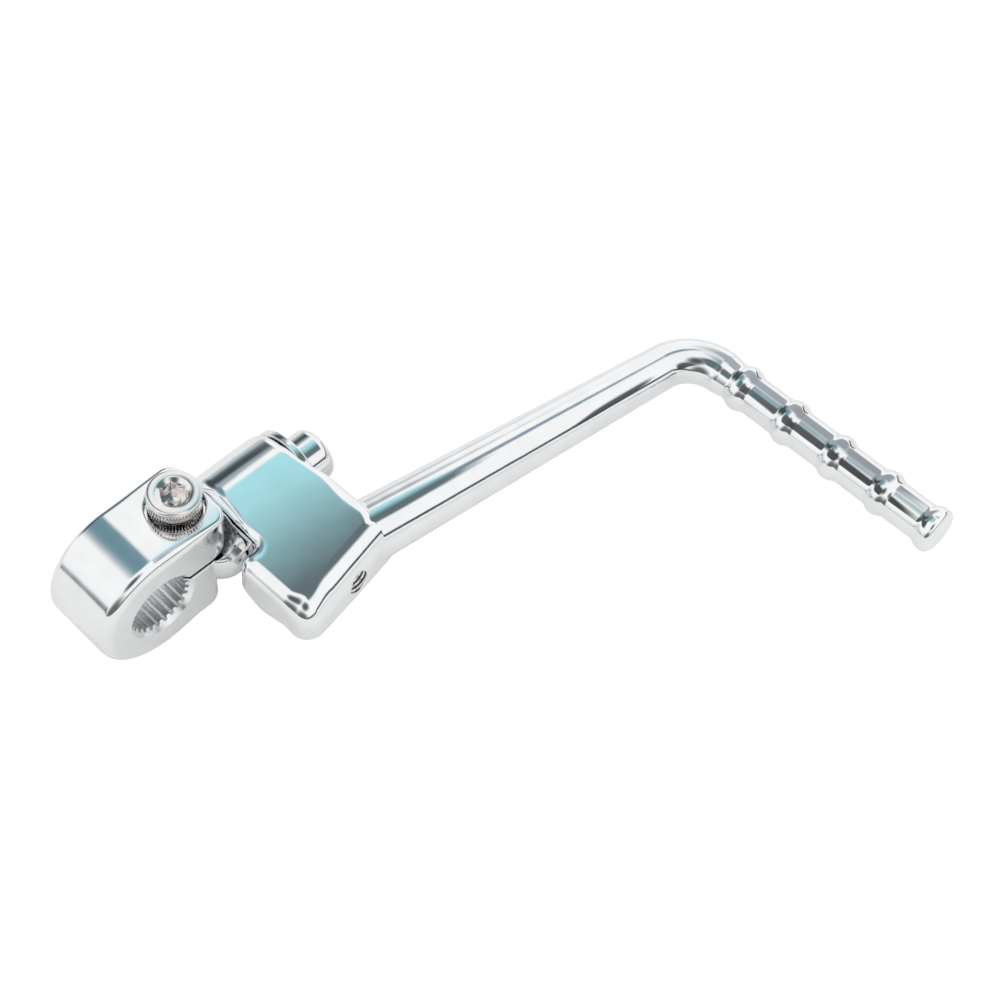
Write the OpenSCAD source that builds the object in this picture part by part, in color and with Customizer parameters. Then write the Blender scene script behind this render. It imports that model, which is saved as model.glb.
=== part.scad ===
// Folding kick start lever: a splined clamp with a pinch screw and a pivot post,
// and a one-piece forged arm that folds about the post and ends in a ribbed foot peg.
// X runs along the pivot post, -Y points outboard, +Z points the way the pinch screw's head faces.
// The origin is the middle of the splined bore.

/* [Spline] */
// Number of teeth in the bore
spline_teeth = 24; // [18:1:30]
// Diameter across the tooth tips
spline_tip_d = 15.6; // [14:0.1:17]
// Height of a tooth
spline_depth = 0.7; // [0.5:0.05:0.9]
// Share of the pitch that a tooth's tip takes
tip_share = 0.42; // [0.36:0.01:0.5]
// Width of a groove's floor as a share of its mouth
floor_share = 0.66; // [0.5:0.01:0.8]
// Depth of the cone at each mouth of the bore
mouth_chamfer = 0.9; // [0.4:0.1:1.4]

/* [Clamp] */
// Length of the clamp along the bore
clamp_len = 20.8; // [18:0.1:24]
// Wall outside the spline grooves
clamp_wall = 8.9; // [7.5:0.1:10]
// Rounding of the clamp's front rim
clamp_round = 2.8; // [1.5:0.1:3.4]
// Rounding of the clamp's rear rim
rear_round = 1.8; // [1:0.1:2.8]
// Width of the slit
slit_w = 1.4; // [1:0.1:2]
// Height of the slit's upper face over the bore's centre
slit_top_z = 3.9; // [3:0.1:5]
// Radius of the free ear's lower corner
ear_corner_r = 6.7; // [5:0.1:8]
// How far the lower corner's centre lies beyond the pinch screw
ear_corner_out = 1.2; // [0:0.1:2]
// Radius of the ear's corners seen from above
ear_plan_r = 4; // [3:0.1:6]
// How far the ear's top lies below the clamp's crown
ear_drop = 0.1; // [0.1:0.1:1]
// Rounding of the ear's upper edge
ear_edge = 1.2; // [0.5:0.1:2]
// How far the lower jaw's underside lies inside the ring's radius
jaw_lift = 1.4; // [0.5:0.1:2.5]
// Radius of the lower jaw's outer corner
jaw_corner_r = 4; // [3:0.1:6]
// How much further out the jaw's foot reaches than its top
jaw_lean = 0.8; // [0:0.1:1.5]
// Distance of the jaw's top corner beyond the pinch screw's axis
jaw_wall = 3.6; // [3.2:0.1:4.4]
// Height that the pocket beyond the slit slopes up to
pocket_top_z = 11.4; // [9:0.1:12]
// Height of the stop lug's top
lug_top_z = 10; // [7:0.1:10.5]

/* [Pinch screw] */
// Thread diameter of the two cap screws
screw_d = 8; // [6:1:8]
// Diameter of the pinch screw's head
screw_head_d = 13; // [12:0.1:13.5]
// Height of the pinch screw's head
screw_head_h = 8; // [6:0.1:8.5]
// Size across the flats of a cap screw's socket
socket_af = 6; // [5:0.5:6.5]
// Depth of a cap screw's socket
socket_depth = 4.2; // [3:0.1:5]
// Web between the spline grooves and the screw's hole
bore_web = 0.7; // [0.5:0.1:1.5]
// Length of the pinch screw under its head
pinch_len = 25; // [20:1:28]
// Depth of the screw's seat under the clamp's crown
seat_depth = 2.4; // [1.5:0.1:3.5]
// Radial gap round the screw's head in its seat
seat_gap = 0.7; // [0.4:0.1:1.2]

/* [Pivot] */
// How far the pivot lies outboard of the bore's middle
pivot_offset = 1.5; // [0:0.1:3]
// Diameter of the pivot post
post_d = 14; // [12:0.1:15]
// Radial clearance between the post and the arm
pivot_clearance = 0.05; // [0.02:0.01:0.08]
// Diameter of the neck between the clamp and the arm
neck_d = 24.4; // [22:0.1:25]
// Length of the neck beyond the lower jaw
neck_len = 6.2; // [5:0.1:8]
// How far the neck narrows where it leaves the jaw
neck_flare = 3; // [2:0.1:4]
// Gap between the neck and the arm's head
thrust_gap = 0.3; // [0.1:0.05:0.5]
// Outer diameter of the pivot washer
washer_d = 22.6; // [20:0.1:23.5]
// Thickness of the pivot washer
washer_t = 2; // [1.5:0.1:3]
// Diameter of the pivot screw's head
pivot_head_d = 13.4; // [12:0.1:14.5]
// Height of the pivot screw's head
pivot_head_h = 8.4; // [6:0.1:9]
// Length of the pivot screw under its head
pivot_screw_len = 20; // [16:1:22]
// Running gap between the washer and the arm's head
end_play = 0.1; // [0.05:0.05:0.3]

/* [Arm head] */
// Diameter of the head round the pivot
head_d = 24; // [22:0.1:26]
// Length of the head along the pivot
head_len = 22.6; // [20:0.1:26]
// Distance of the head's outboard side from the pivot
head_reach = 37.4; // [32:0.1:40]
// Thickness of the head at its outboard side
head_side_t = 14.4; // [13:0.1:17]
// Rounding of the head's edges
head_round = 2.8; // [2:0.1:3.2]
// How far the stop lobe reaches past the head's near face
lobe_len = 5.8; // [4:0.1:6.2]
// Gap between the pivot and the lobe's inner face
lobe_gap = 15; // [14:0.1:16]
// Gap between the lobe and the clamp's stop lug
stop_gap = 0.4; // [0.3:0.05:1]
// Radius of the lobe's inner corner seen from above
lobe_tip_r = 3; // [2.9:0.1:4]
// Radius of the head's near outboard corner seen from above
near_corner_r = 4.2; // [3.3:0.1:6]
// Radius of the head's far outboard corner seen from above
far_corner_r = 3.1; // [2.9:0.1:5]
// Skew of the head's outboard side
head_skew = 4.7; // [2:0.1:6]
// How far the head's outboard part reaches past the washer's seat
head_flare = 4.6; // [1:0.1:5]
// Radial gap round the washer in its seat
washer_gap = 0.6; // [0.4:0.1:1.5]

/* [Arm] */
// Distance from the bore to the peg's axis, along the pivot
arm_reach = 145.3; // [120:1:175]
// Diameter of the arm at its root
arm_root_d = 15.8; // [13:0.1:17]
// Diameter of the arm at the bend
arm_end_d = 11.3; // [10:0.1:13]
// Angle that the arm leans outboard
arm_splay = 8.5; // [4:0.5:12]
// Distance of the arm's root outboard of the pivot
arm_root_offset = 24.7; // [20:0.1:26]
// Radius of the bend along the arm's axis
bend_r = 12; // [9:0.5:16]

/* [Foot peg] */
// Diameter of the peg between its ribs
peg_d = 10.2; // [9:0.1:11]
// Diameter over the ribs
rib_d = 12.1; // [11.2:0.1:14]
// Number of ribs before the tip
rib_count = 4; // [3:1:6]
// Distance from rib to rib
rib_pitch = 14.7; // [10:0.1:16]
// Half the width of a rib with its blends
rib_half_w = 3.1; // [2.2:0.1:4]
// Distance of the first rib from the corner of the bend
first_rib = 16.9; // [15:0.1:24]
// Length of the rounded end beyond the tip's crest
tip_len = 2.4; // [1.5:0.1:4]
// Angle that the peg leans away from square to the pivot
peg_splay = 3.5; // [0:0.5:8]

/* [Detent] */
// Diameter of the detent ball
ball_d = 5.6; // [5:0.1:6]
// Radial clearance round the ball in its drilling
ball_clearance = 0.2; // [0.1:0.05:0.3]
// Depth of the ball's track round the post
track_depth = 1.2; // [0.8:0.1:1.6]
// How much deeper the pocket at each end of the fold is
pocket_drop = 0.4; // [0.2:0.1:0.6]
// Distance of the drilling from the head's near face
drilling_x = 14.6; // [10:0.1:16]
// Length of the detent spring
spring_len = 12.4; // [8:0.1:13]
// Wire diameter of the detent spring
spring_wire = 0.8; // [0.6:0.1:1]
// Number of turns of the detent spring
spring_turns = 7; // [5:1:9]
// Length of the grub screw behind the spring
plug_len = 6; // [4:0.1:7]

/* [Hidden] */

fit_gap = 0.05;
hole_clearance = 0.4;
past = 1;
lap = 0.5;
lap_step = 0.05;
root_lap = 1.2;
edge_chamfer = 0.6;
hidden_round = 0.5;
thin_round = 0.3;
lug_root_share = 0.3;
round_fn = 96;
hull_fn = 32;
edge_fn = 20;

// Clamp
half_len = clamp_len / 2;
tip_r = spline_tip_d / 2;
root_r = tip_r + spline_depth;
ring_r = root_r + clamp_wall;
shank_r = screw_d / 2;
pinch_x = root_r + bore_web + shank_r;
seat_r = screw_head_d / 2 + seat_gap;
seat_z = ring_r - seat_depth;
jaw_z = jaw_lift - ring_r;
slit_low_z = slit_top_z - slit_w;
slit_mid_z = slit_top_z - slit_w / 2;
ear_z = slit_top_z + ear_corner_r;
ear_corner_x = pinch_x + ear_corner_out;
ear_x = ear_corner_x + ear_corner_r;
jaw_x = pinch_x + jaw_wall;
jaw_foot_x = jaw_x + jaw_lean;

// Pivot
post_r = post_d / 2;
neck_r = neck_d / 2;
neck_end_x = jaw_x + neck_len;
near_x = neck_end_x + thrust_gap;
far_x = near_x + head_len;
post_end_x = far_x + end_play;

// Arm head
head_r = head_d / 2;
side_half_t = head_side_t / 2;
side_y = -pivot_offset - head_reach;
lobe_y = -pivot_offset - lobe_gap;
lobe_x = near_x - lobe_len;
seat_reach = washer_d / 2 + washer_gap;
seat_h = head_flare + 0.5;
corner_x = near_x + 2 * near_corner_r;
// Half thickness of the head at a distance outboard of the pivot
function head_half_t(d) = head_r + (side_half_t - head_r) * d / (head_reach - near_corner_r);

// Arm and peg, along their shared plane
corner_y = -pivot_offset - arm_root_offset - (arm_reach - far_x) * tan(arm_splay);
bend_turn = 90 - arm_splay - peg_splay;
bend_tangent = bend_r * tan(bend_turn / 2);
arm_len = (arm_reach - far_x) / cos(arm_splay) - bend_tangent;
root_depth = 8;
peg_r = peg_d / 2;
rib_r = rib_d / 2;
tip_s = first_rib + rib_count * rib_pitch;
peg_end = tip_s + tip_len;

// Detent
ball_r = ball_d / 2;
drilling_r = ball_r + ball_clearance;
detent_x = near_x + drilling_x;
ball_reach = post_r - track_depth + ball_r;
ball_y = -pivot_offset - ball_reach - fit_gap;
spring_y = ball_y - ball_r;
plug_y = spring_y - spring_len;
side_turn = atan(head_skew * 2 / (3 * (far_x + head_flare - far_corner_r - corner_x)));
mouth_y = side_y + head_skew / 3 + (detent_x - corner_x) * tan(side_turn);

// A disc with rounded rims, standing on the XY plane
module rounded_disc(r, h, low_e, high_e) {
    rotate_extrude()
        intersection() {
            union() {
                translate([0, low_e])
                    square([r, h - low_e - high_e]);
                square([r - low_e, h / 2]);
                translate([0, h / 2])
                    square([r - high_e, h / 2]);
                translate([r - low_e, low_e])
                    circle(low_e, $fn = edge_fn);
                translate([r - high_e, h - high_e])
                    circle(high_e, $fn = edge_fn);
            }
            square([r, h]);
        }
}

// A disc of the clamp's length, its axis along the bore, at (x, z), with its rear rim no rounder than the ring's
module clamp_disc(x, z, r, e) {
    translate([x, half_len, z])
        rotate([90, 0, 0])
            rounded_disc(r, clamp_len, min(e, rear_round), e);
}

// Places its children on the pivot, with their Z axis along the post
module on_pivot(x) {
    translate([x, -pivot_offset, 0])
        rotate([0, 90, 0])
            children();
}

// Outline of the splined hole: a circle over the tooth tips and one groove between each two teeth
module spline_outline() {
    pitch = 360 / spline_teeth;
    mouth = tip_r * sin(pitch * (1 - tip_share) / 2);
    floor_w = mouth * floor_share;
    inner = 2 * mouth - floor_w;
    circle(tip_r, $fn = round_fn);
    for (i = [0 : spline_teeth - 1])
        rotate((i + 0.5) * pitch)
            polygon([
                [tip_r - spline_depth, -inner],
                [root_r, -floor_w],
                [root_r, floor_w],
                [tip_r - spline_depth, inner]
            ]);
}

// The splined bore with its two conical mouths, as a solid to cut away
module spline_cut() {
    mouth_r = root_r + mouth_chamfer;
    inner_r = tip_r - mouth_chamfer / 2;
    translate([0, half_len + past, 0])
        rotate([90, 0, 0])
            linear_extrude(clamp_len + 2 * past)
                spline_outline();
    for (side = [-1, 1])
        translate([0, side * (half_len + past), 0])
            rotate([90 * side, 0, 0])
                cylinder(h = mouth_r + past - inner_r, r1 = mouth_r + past, r2 = inner_r, $fn = round_fn);
}

// What lies above the slit and the sloping pocket, seen along the bore
module pocket_outline() {
    outer_r = ear_corner_r + slit_w;
    foot_turn = 50;
    foot_r = outer_r - thin_round;
    past_x = 3 * ring_r;
    translate([0, slit_low_z])
        square([ear_corner_x, 2 * ring_r]);
    translate([ear_corner_x, ear_z])
        circle(outer_r, $fn = round_fn);
    polygon([
        [ear_corner_x, ear_z],
        [ear_corner_x + foot_r * cos(foot_turn), ear_z - foot_r * sin(foot_turn)],
        [neck_end_x, pocket_top_z],
        [past_x, pocket_top_z],
        [past_x, past_x],
        [ear_corner_x, past_x]
    ]);
}

// Outline of the ear above the slit
module ear_outline() {
    translate([ear_corner_x, ear_z])
        circle(ear_corner_r, $fn = round_fn);
    translate([0, slit_top_z])
        square([ear_corner_x, 2 * ring_r]);
    translate([0, ear_z])
        square([ear_x, 2 * ring_r]);
}

// Cuts an outline through the clamp along the bore
module along_bore() {
    width = 4 * half_len;
    translate([0, width / 2, 0])
        rotate([90, 0, 0])
            linear_extrude(width)
                children();
}

// The block that the slit divides into the free ear and the top of the lower jaw
module ear() {
    $fn = hull_fn;
    corner_y = half_len - ear_plan_r;
    top_z = ring_r - ear_drop;
    hull() {
        for (side = [-1, 1])
            translate([ear_x - ear_plan_r, side * corner_y, 0])
                rounded_disc(ear_plan_r, top_z, hidden_round, ear_edge);
        clamp_disc(0, top_z - ear_corner_r, ear_corner_r, clamp_round + ear_drop);
    }
}

// The lower jaw that takes the pinch screw's thread
module jaw() {
    $fn = hull_fn;
    upper_r = jaw_corner_r * 0.8;
    hull() {
        clamp_disc(jaw_foot_x - jaw_corner_r, jaw_z + jaw_corner_r, jaw_corner_r, clamp_round);
        clamp_disc(jaw_x - upper_r, slit_top_z, upper_r, hidden_round);
        clamp_disc(0, jaw_z + ear_corner_r, ear_corner_r, clamp_round);
    }
}

// The round neck beside the arm's head, which widens out of the jaw
module neck() {
    start_x = jaw_x - root_lap;
    len = neck_end_x - start_x;
    on_pivot(start_x)
        rotate_extrude($fn = round_fn)
            polygon([
                [0, 0],
                [neck_r - neck_flare, 0],
                [neck_r, neck_flare],
                [neck_r, len - edge_chamfer],
                [neck_r - edge_chamfer, len],
                [0, len]
            ]);
}

// The lug on the neck that the head's notch fits round
module stop_lug() {
    lug_y = pivot_offset + lobe_gap - stop_gap;
    low_z = lug_top_z * lug_root_share;
    root_reach = sqrt(neck_r * neck_r - low_z * low_z);
    translate([jaw_x, 0, 0])
        rotate([90, 0, 90])
            linear_extrude(neck_len)
                polygon([
                    [-pivot_offset, low_z],
                    [-pivot_offset - root_reach, low_z],
                    [-lug_y, lug_top_z],
                    [-pivot_offset, lug_top_z]
                ]);
}

// The post that the arm turns on, with the ball's track and the pocket at each end of the fold
module post() {
    difference() {
        on_pivot(neck_end_x - past)
            cylinder(h = post_end_x - neck_end_x + past, r = post_r, $fn = round_fn);
        on_pivot(detent_x)
            rotate_extrude($fn = round_fn)
                translate([ball_reach, 0])
                    circle(ball_r + fit_gap, $fn = 48);
        for (turn = [0, 90])
            translate([detent_x, -pivot_offset, 0])
                rotate([turn, 0, 0])
                    translate([0, pocket_drop - ball_reach, 0])
                        sphere(ball_r + fit_gap, $fn = 48);
    }
}

// The clamp with its splined bore, slit, ears, neck and pivot post, one forging
module clamp_boss() {
    color([0.84, 0.86, 0.88])
        difference() {
            union() {
                difference() {
                    union() {
                        clamp_disc(0, 0, ring_r, clamp_round, $fn = round_fn);
                        ear();
                        jaw();
                    }
                    along_bore()
                        difference() {
                            pocket_outline();
                            ear_outline();
                            square([root_r / 2, ring_r]);
                        }
                }
                difference() {
                    union() {
                        neck();
                        stop_lug();
                    }
                    along_bore()
                        pocket_outline();
                }
                post();
            }
            spline_cut();
            translate([pinch_x, 0, seat_z])
                cylinder(h = ring_r, r = seat_r, $fn = round_fn);
            translate([pinch_x, 0, slit_mid_z])
                cylinder(h = ring_r, r = shank_r + hole_clearance, $fn = round_fn);
            translate([pinch_x, 0, jaw_z - past])
                cylinder(h = slit_mid_z - jaw_z + past, r = shank_r + fit_gap, $fn = round_fn);
            on_pivot(post_end_x - pivot_screw_len)
                cylinder(h = pivot_screw_len + past, r = shank_r + fit_gap, $fn = round_fn);
        }
}

// A socket head cap screw, its head's base on the XY plane and its shank downward
module cap_screw(head_d, head_h, edge, len) {
    chamfer = 0.7;
    chamfer_r = socket_af / 2 / cos(30) + chamfer + thin_round;
    difference() {
        union() {
            rounded_disc(head_d / 2, head_h, thin_round, edge, $fn = round_fn);
            translate([0, 0, -len])
                cylinder(h = len + past, r = shank_r, $fn = round_fn);
        }
        translate([0, 0, head_h - socket_depth])
            linear_extrude(socket_depth + past)
                circle(socket_af / 2 / cos(30), $fn = 6);
        translate([0, 0, head_h - chamfer])
            cylinder(h = chamfer + past, r1 = chamfer_r - chamfer, r2 = chamfer_r + past, $fn = round_fn);
    }
}

// The screw that draws the ear down on the shaft
module pinch_screw() {
    color([0.78, 0.75, 0.72])
        translate([pinch_x, 0, seat_z])
            cap_screw(screw_head_d, screw_head_h, 0.8, pinch_len);
}

// The screw that holds the washer on the post's end
module pivot_screw() {
    color([0.82, 0.83, 0.84])
        on_pivot(post_end_x + washer_t)
            cap_screw(pivot_head_d, pivot_head_h, 1.6, pivot_screw_len - past);
}

// The washer that keeps the arm on the post
module pivot_washer() {
    color([0.8, 0.82, 0.84])
        on_pivot(post_end_x)
            difference() {
                rounded_disc(washer_d / 2, washer_t, thin_round, hidden_round, $fn = round_fn);
                translate([0, 0, -past])
                    cylinder(h = washer_t + 2 * past, r = shank_r + hole_clearance / 2, $fn = round_fn);
            }
}

// A rounded post of the head seen from above, at (x, y)
module head_post(x, y, r) {
    half_t = head_half_t(-pivot_offset - y);
    translate([x, y, -half_t])
        rounded_disc(r, 2 * half_t, head_round, head_round);
}

// A rounded post at the lobe's near end, which is thinner below than the head
module lobe_post(x, y, r) {
    half_t = head_half_t(-pivot_offset - y);
    translate([x, y, -side_half_t])
        rounded_disc(r, side_half_t + half_t, r - 0.1, head_round);
}

// The part of the head that turns on the post, tapering to the outboard side
module head_body() {
    $fn = hull_fn;
    hull() {
        on_pivot(near_x)
            rounded_disc(head_r, head_len, head_round, edge_chamfer, $fn = 48);
        head_post(far_x + head_flare - far_corner_r, side_y + head_skew + far_corner_r, far_corner_r);
        head_post(far_x + head_flare - far_corner_r, -pivot_offset - seat_reach - 2 * head_flare, far_corner_r);
        head_post(corner_x, side_y + head_skew / 3 + near_corner_r, near_corner_r);
    }
}

// The lobe that reaches past the near face and clears the neck as the arm folds
module stop_lobe() {
    $fn = hull_fn;
    hull() {
        lobe_post(lobe_x + lobe_tip_r, lobe_y - lobe_tip_r, lobe_tip_r);
        lobe_post(lobe_x + head_skew / 3 + near_corner_r, side_y + near_corner_r, near_corner_r);
        head_post(corner_x, lobe_y - lobe_tip_r, lobe_tip_r);
        head_post(corner_x, side_y + head_skew / 3 + near_corner_r, near_corner_r);
    }
}

// The tapered round arm and its bend
module arm_bar() {
    translate([far_x, -pivot_offset - arm_root_offset, 0])
        rotate([0, 0, -arm_splay])
            rotate([0, 90, 0]) {
                translate([0, 0, -root_depth])
                    cylinder(h = root_depth + past, r = arm_root_d / 2, $fn = round_fn);
                cylinder(h = arm_len + lap, r1 = arm_root_d / 2, r2 = arm_end_d / 2, $fn = round_fn);
            }
    translate([arm_reach, corner_y, 0])
        rotate([0, 0, -arm_splay])
            translate([-bend_tangent, -bend_r, 0])
                rotate([0, 0, 90 - bend_turn])
                    rotate_extrude(angle = bend_turn, $fn = round_fn)
                        translate([bend_r, 0])
                            circle(arm_end_d / 2 + lap_step, $fn = round_fn);
}

// Radius of the peg at a distance along it from a rib's crest
function rib_bump(s) = abs(s) >= rib_half_w ? 0
    : (rib_r - peg_r) * (0.5 + 0.5 * cos(180 * pow(abs(s) / rib_half_w, 1.35)));

// The ribbed foot peg, turned about its own axis
module peg() {
    steps = 6;
    blend_end = first_rib - rib_half_w;
    rib_points = [for (i = [0 : rib_count - 1], k = [-steps : steps])
        let (s = k * rib_half_w / steps)
        [peg_r + rib_bump(s), first_rib + i * rib_pitch + s]];
    flare_points = [for (k = [-steps : 0])
        let (s = k * rib_half_w / steps)
        [peg_r + rib_bump(s), tip_s + s]];
    end_points = [for (k = [1 : steps])
        let (a = 90 * k / steps)
        [rib_r - tip_len * 0.9 * (1 - cos(a)), tip_s + tip_len * sin(a)]];
    translate([arm_reach, corner_y, 0])
        rotate([0, 0, peg_splay])
            rotate([90, 0, 0])
                rotate_extrude($fn = round_fn)
                    polygon(concat(
                        [[0, bend_tangent - lap], [arm_end_d / 2, bend_tangent - lap], [peg_r, blend_end]],
                        rib_points, flare_points, end_points, [[0, peg_end]]));
}

// The forged arm: head, stop lobe, tapered bar, bend and peg in one piece
module kick_arm() {
    color([0.84, 0.87, 0.89])
        difference() {
            union() {
                head_body();
                stop_lobe();
                arm_bar();
                peg();
            }
            on_pivot(near_x - past)
                cylinder(h = head_len + 2 * past, r = post_r + pivot_clearance, $fn = round_fn);
            on_pivot(far_x)
                cylinder(h = seat_h, r1 = seat_reach, r2 = seat_reach + seat_h * 0.9, $fn = round_fn);
            translate([detent_x, -pivot_offset, 0])
                rotate([90, 0, 0])
                    cylinder(h = head_reach + past, r = drilling_r, $fn = round_fn);
            translate([detent_x, mouth_y, 0])
                rotate([90, 0, side_turn])
                    translate([0, 0, -drilling_r])
                        cylinder(h = drilling_r + past, r1 = edge_chamfer, r2 = drilling_r + edge_chamfer + past, $fn = round_fn);
        }
}

// The ball that clicks into the post's pockets
module detent_ball() {
    color([0.7, 0.7, 0.72])
        translate([detent_x, ball_y, 0])
            sphere(ball_r, $fn = round_fn);
}

// One ring of points round the spring's wire, at a share t of its length
function wire_ring(t, turn_r, sides) =
    let (a = 360 * spring_turns * t,
         z = spring_wire / 2 + (spring_len - spring_wire) * t)
    [for (k = [0 : sides - 1])
        let (b = 360 * k / sides, r = turn_r + spring_wire / 2 * cos(b))
        [r * cos(a), r * sin(a), z + spring_wire / 2 * sin(b)]];

// The coil spring behind the ball
module detent_spring() {
    sides = 6;
    rings = spring_turns * 14;
    turn_r = ball_r - spring_wire / 2;
    points = [for (i = [0 : rings]) each wire_ring(i / rings, turn_r, sides)];
    walls = [for (i = [0 : rings - 1], k = [0 : sides - 1])
        let (n = (k + 1) % sides)
        [i * sides + k, (i + 1) * sides + k, (i + 1) * sides + n, i * sides + n]];
    first_cap = [[for (k = [0 : sides - 1]) k]];
    last_cap = [[for (k = [sides - 1 : -1 : 0]) rings * sides + k]];
    color([0.6, 0.6, 0.62])
        translate([detent_x, spring_y, 0])
            rotate([90, 0, 0])
                polyhedron(points, concat(walls, first_cap, last_cap));
}

// The grub screw that holds the spring, sunk in the drilling
module detent_plug() {
    plug_r = drilling_r - fit_gap;
    hex_af = ball_d / 2;
    color([0.35, 0.35, 0.37])
        translate([detent_x, plug_y, 0])
            rotate([90, 0, 0])
                difference() {
                    cylinder(h = plug_len, r = plug_r, $fn = round_fn);
                    translate([0, 0, plug_len / 2])
                        linear_extrude(plug_len)
                            circle(hex_af / 2 / cos(30), $fn = 6);
                }
}

clamp_boss();
pinch_screw();
kick_arm();
pivot_screw();
pivot_washer();
detent_ball();
detent_spring();
detent_plug();
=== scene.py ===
"""Folding kick start lever: the looks of its polished forgings, screws and detent, round the packed part.

Sizes in the property groups are in metres. The shaping functions work in millimetres, in the part's own frame:
X runs along the pivot, -Y points outboard and +Z points the way the pinch screw's head faces.
"""

import math

import bpy
import numpy as np
from mathutils import Matrix, Vector


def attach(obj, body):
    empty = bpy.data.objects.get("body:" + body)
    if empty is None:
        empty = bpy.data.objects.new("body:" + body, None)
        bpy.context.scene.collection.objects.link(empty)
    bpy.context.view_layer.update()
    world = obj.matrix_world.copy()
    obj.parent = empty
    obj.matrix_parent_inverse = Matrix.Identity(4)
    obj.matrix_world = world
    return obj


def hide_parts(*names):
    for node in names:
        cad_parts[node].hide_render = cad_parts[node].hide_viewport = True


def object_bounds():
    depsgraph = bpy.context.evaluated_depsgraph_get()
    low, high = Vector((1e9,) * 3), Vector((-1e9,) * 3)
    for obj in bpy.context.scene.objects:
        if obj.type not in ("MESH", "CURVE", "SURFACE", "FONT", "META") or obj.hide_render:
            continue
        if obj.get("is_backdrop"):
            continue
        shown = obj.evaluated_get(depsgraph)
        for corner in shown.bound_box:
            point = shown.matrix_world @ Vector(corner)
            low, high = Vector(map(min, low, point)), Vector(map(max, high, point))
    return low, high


bl_info = {
    "name": "Kick Start Lever",
    "version": (1, 0, 0),
    "blender": (4, 5, 0),
    "location": "3D View > Sidebar > Lever",
    "description": "Builds a folding kick start lever with a splined clamp",
    "category": "Add Mesh",
}

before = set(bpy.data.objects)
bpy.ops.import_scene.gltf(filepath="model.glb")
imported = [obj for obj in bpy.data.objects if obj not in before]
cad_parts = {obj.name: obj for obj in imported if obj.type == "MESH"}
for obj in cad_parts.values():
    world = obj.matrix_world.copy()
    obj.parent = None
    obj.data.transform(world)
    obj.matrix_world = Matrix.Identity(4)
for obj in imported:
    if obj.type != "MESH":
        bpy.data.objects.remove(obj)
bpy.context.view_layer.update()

MM = 0.001
# Spacing of the grids that the forgings are meshed on, in millimetres
CLAMP_CELL, ARM_CELL = 0.36, 0.412


# Properties

def length(name, description, default):
    """A size in metres."""
    return bpy.props.FloatProperty(
        name=name, description=description, default=default, min=0, precision=5, unit="LENGTH")


def angle(name, description, degrees):
    """An angle, given in degrees."""
    return bpy.props.FloatProperty(
        name=name, description=description, default=math.radians(degrees), unit="ROTATION")


def number(name, description, default):
    """A count of like features."""
    return bpy.props.IntProperty(name=name, description=description, default=default, min=1)


def share(name, description, default):
    """A share from 0 to 1."""
    return bpy.props.FloatProperty(
        name=name, description=description, default=default, min=0, max=1, subtype="FACTOR")


def colour(name, description, default):
    """A colour, red, green and blue."""
    return bpy.props.FloatVectorProperty(
        name=name, description=description, default=default, size=3, min=0, max=1, subtype="COLOR")


class LeverClampSizes(bpy.types.PropertyGroup):
    """Sizes of the clamp on the shaft"""
    width: length("Width", "Length of the clamp along the bore", 0.0208)
    ring_r: length("Ring radius", "Outer radius of the ring", 0.0174)
    edge_r: length("Front rim", "Rounding of the ring's front rim", 0.0028)
    rear_r: length("Rear rim", "Rounding of the ring's rear rim", 0.0018)
    tip_r: length("Tooth tip radius", "Radius of the bore at the tooth tips", 0.0078)
    groove: length("Tooth height", "Depth of the grooves between the teeth", 0.0007)
    teeth: number("Teeth", "Number of teeth in the bore", 24)
    tip_share: share("Tip share", "Share of the pitch that a tooth's tip takes", 0.42)
    mouth: length("Mouth chamfer", "Depth of the cone at each mouth of the bore", 0.0009)
    slit_low: length("Slit floor", "Height of the slit's lower face", 0.0025)
    slit_top: length("Slit roof", "Height of the slit's upper face", 0.0039)
    slit_start: length("Slit start", "Distance of the slit's start from the bore's centre", 0.00425)
    ear_x: length("Ear reach", "Distance of the ear's side from the bore", 0.0211)
    ear_corner_r: length("Ear corner", "Radius of the ear's lower corner", 0.0067)
    ear_plan_r: length("Ear plan radius", "Radius of the ear's corners seen from above", 0.004)
    ear_edge_r: length("Ear edge", "Rounding of the ear's upper edge", 0.0012)
    pocket_r: length("Pocket radius", "Radius of the pocket under the ear's corner", 0.0081)
    jaw_drop: length("Jaw depth", "Depth of the jaw's underside below the bore's centre", 0.016)
    jaw_x: length("Jaw reach", "Distance of the jaw's side from the bore", 0.0168)
    jaw_corner_r: length("Jaw corner", "Radius of the jaw's lower corner", 0.004)
    pinch_x: length("Pinch screw place", "Distance of the pinch screw from the bore", 0.0132)
    seat_r: length("Seat radius", "Radius of the pinch screw's seat", 0.0072)
    seat_z: length("Seat height", "Height of the seat's floor", 0.015)


class LeverPivotSizes(bpy.types.PropertyGroup):
    """Sizes of the neck, the post and what holds the arm on it"""
    offset: length("Pivot offset", "How far the pivot lies outboard of the bore", 0.0015)
    neck_r: length("Neck radius", "Radius of the neck beside the arm's head", 0.0122)
    neck_end: length("Neck end", "Distance of the neck's face from the bore", 0.023)
    lug_reach: length("Lug reach", "Distance of the stop lug's face from the pivot", 0.0146)
    lug_top: length("Lug height", "Height of the stop lug", 0.01)
    post_r: length("Post radius", "Radius of the post", 0.007)
    post_end: length("Post end", "Distance of the post's end from the bore", 0.046)
    track_x: length("Track place", "Distance of the ball's track from the bore", 0.0379)
    track_depth: length("Track depth", "Depth of the ball's track", 0.0012)
    pocket_drop: length("Pocket depth", "How much deeper the pocket at each end of the fold is", 0.0004)
    ball_r: length("Ball radius", "Radius of the detent ball", 0.0028)
    washer_r: length("Washer radius", "Outer radius of the washer", 0.0113)
    washer_t: length("Washer thickness", "Thickness of the washer", 0.002)


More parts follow.
